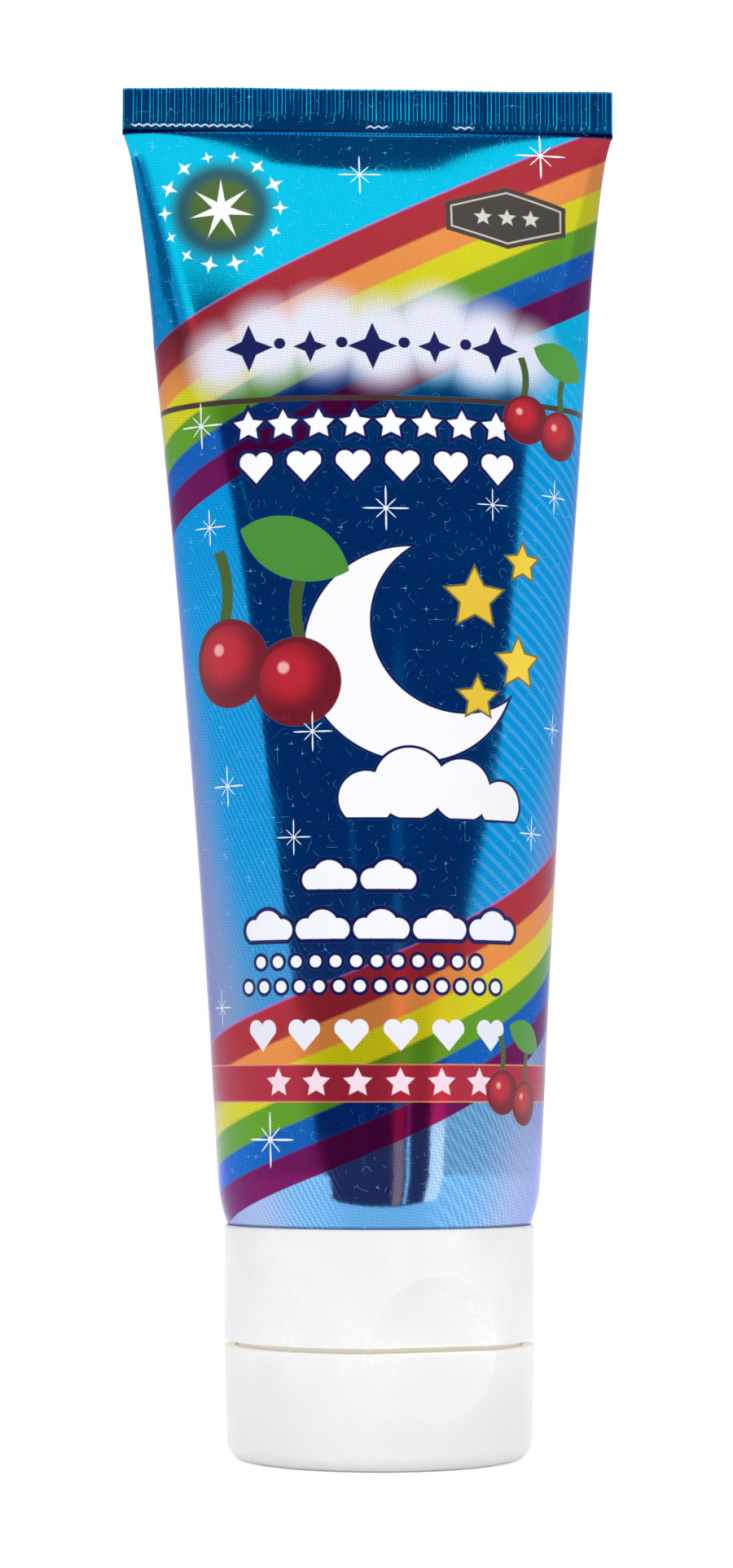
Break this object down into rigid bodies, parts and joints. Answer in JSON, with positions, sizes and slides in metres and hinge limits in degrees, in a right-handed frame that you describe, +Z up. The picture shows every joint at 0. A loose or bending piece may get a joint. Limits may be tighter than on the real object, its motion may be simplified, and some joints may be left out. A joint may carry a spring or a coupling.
{
  "type": "toothpaste tube",
  "caption": "Filled laminate squeeze tube, crimped flat at its top, standing on a round flip-top cap whose hinged lid plugs the nozzle.",
  "frame": {"origin": "centre of the lid's foot ring on the cap's axis, on the surface that the tube stands on", "axes": "+Z up along the tube to the crimp, +X along the crimp to the right as seen from the printed front, -Y out of the front"},
  "size_m": [0.0548, 0.035, 0.1505],
  "materials": {
    "sleeve_laminate": "printed metallic foil laminate, glossy",
    "head_plastic": "natural moulded polyethylene",
    "paste": "moist smooth paste",
    "cap_plastic": "satin moulded polypropylene"
  },
  "bodies": {
    "tube": {"tube_sleeve": "sleeve_laminate", "tube_head": "head_plastic", "toothpaste_fill": "paste", "cap_base": "cap_plastic"},
    "lid": {"cap_lid": "cap_plastic"}
  },
  "joints": [
    {"name": "lid_hinge", "type": "hinge", "parent": "tube", "child": "lid", "pos_m": [-0.00556, 0.01527, 0.0124], "axis": [0.9397, 0.342, 0], "range_deg": [0, 140]}
  ]
}
